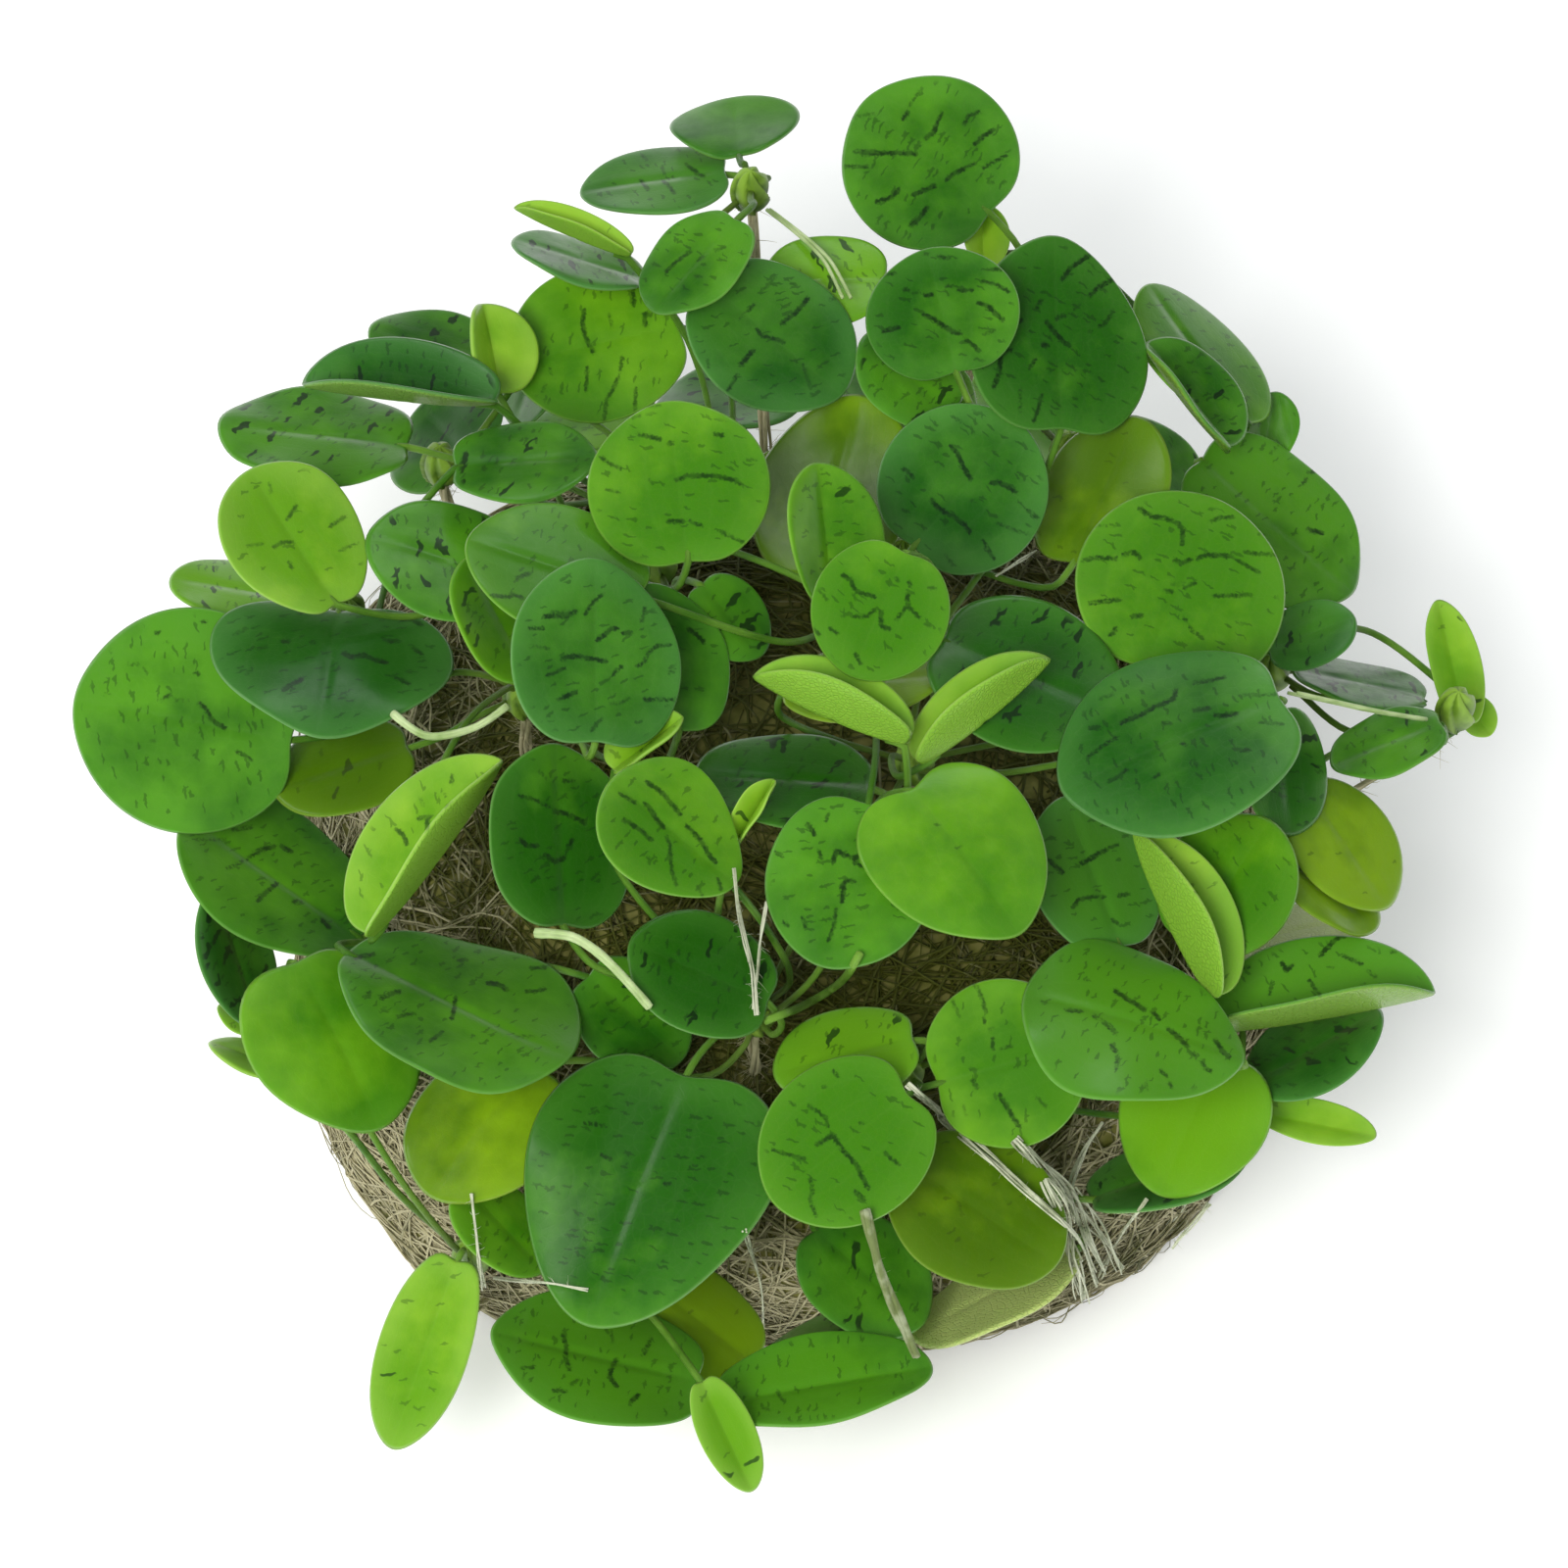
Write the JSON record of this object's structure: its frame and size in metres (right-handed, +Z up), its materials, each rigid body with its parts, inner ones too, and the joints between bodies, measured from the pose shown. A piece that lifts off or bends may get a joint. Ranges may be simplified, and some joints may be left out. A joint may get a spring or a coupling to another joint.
{
  "type": "floating frogbit clump",
  "caption": "Clump of floating frogbit lifted from the water: round glossy green leaves with dark streaks on stalks, over a pale felted root mass it rests on.",
  "frame": {"origin": "middle of the flat underside of the root mass, on the resting surface", "axes": "+Z up through the leaves; the picture looks at the side that faces -Y, from above; +X is to its right"},
  "size_m": [0.1442, 0.1504, 0.0748],
  "materials": {
    "mature_leaf": "smooth waxy, glossy",
    "blue_leaf": "smooth waxy with a pale sheen",
    "bright_leaf": "smooth waxy, glossy",
    "young_leaf": "smooth, pale at the edge",
    "olive_leaf": "smooth waxy",
    "plant": "smooth, faintly ribbed",
    "runner": "smooth, slightly shiny",
    "roots": "fibrous, felted"
  },
  "bodies": {
    "root": {"leaf_back_round": "mature_leaf", "leaf_bottom_left": "mature_leaf", "leaf_broad_left": "mature_leaf", "leaf_dark_front": "mature_leaf", "leaf_dark_gap": "mature_leaf", "leaf_dark_middle": "mature_leaf", "leaf_forked_middle": "mature_leaf", "leaf_front_left": "mature_leaf", "leaf_front_right": "mature_leaf", "leaf_large_back": "mature_leaf", "leaf_large_right": "mature_leaf", "leaf_largest": "mature_leaf", "leaf_left_oval": "mature_leaf", "leaf_lying_front": "mature_leaf", "leaf_white_edged": "mature_leaf", "leaf_widest_left": "mature_leaf", "leaf_blue_left": "blue_leaf", "leaf_blue_low": "blue_leaf", "leaf_blue_middle": "blue_leaf", "leaf_curled_left": "blue_leaf", "leaf_glossy_right": "blue_leaf", "leaf_round_dark": "blue_leaf", "leaf_wide_left": "blue_leaf", "leaf_bright_left": "bright_leaf", "leaf_centre_round": "bright_leaf", "leaf_lower_left": "bright_leaf", "leaf_plain_heart": "bright_leaf", "leaf_right_tilted": "bright_leaf", "leaf_round_front": "bright_leaf", "leaf_round_right": "bright_leaf", "leaf_streaked_under": "bright_leaf", "leaf_spotted_fold": "young_leaf", "leaf_clear_old": "olive_leaf", "leaf_faint_front": "olive_leaf", "leaf_olive_back": "olive_leaf", "leaf_olive_right": "olive_leaf", "leaf_yellow_left": "olive_leaf", "plant_back": "plant", "plant_back_right": "plant", "plant_centre": "plant", "plant_centre_left": "plant", "plant_centre_low": "plant", "plant_far_right": "plant", "plant_front": "plant", "plant_front_left": "plant", "plant_front_middle": "plant", "plant_left": "plant", "plant_left_high": "plant", "plant_left_middle": "plant", "plant_low_middle": "plant", "plant_lower_left": "plant", "plant_lower_right": "plant", "plant_right": "plant", "plant_right_back": "plant", "runner_back_curl": "runner", "runner_cut_white": "runner", "runner_far_right_runner": "runner", "runner_front_hanging": "runner", "runner_left_curl": "runner", "root_mass": "roots"}
  },
  "joints": []
}
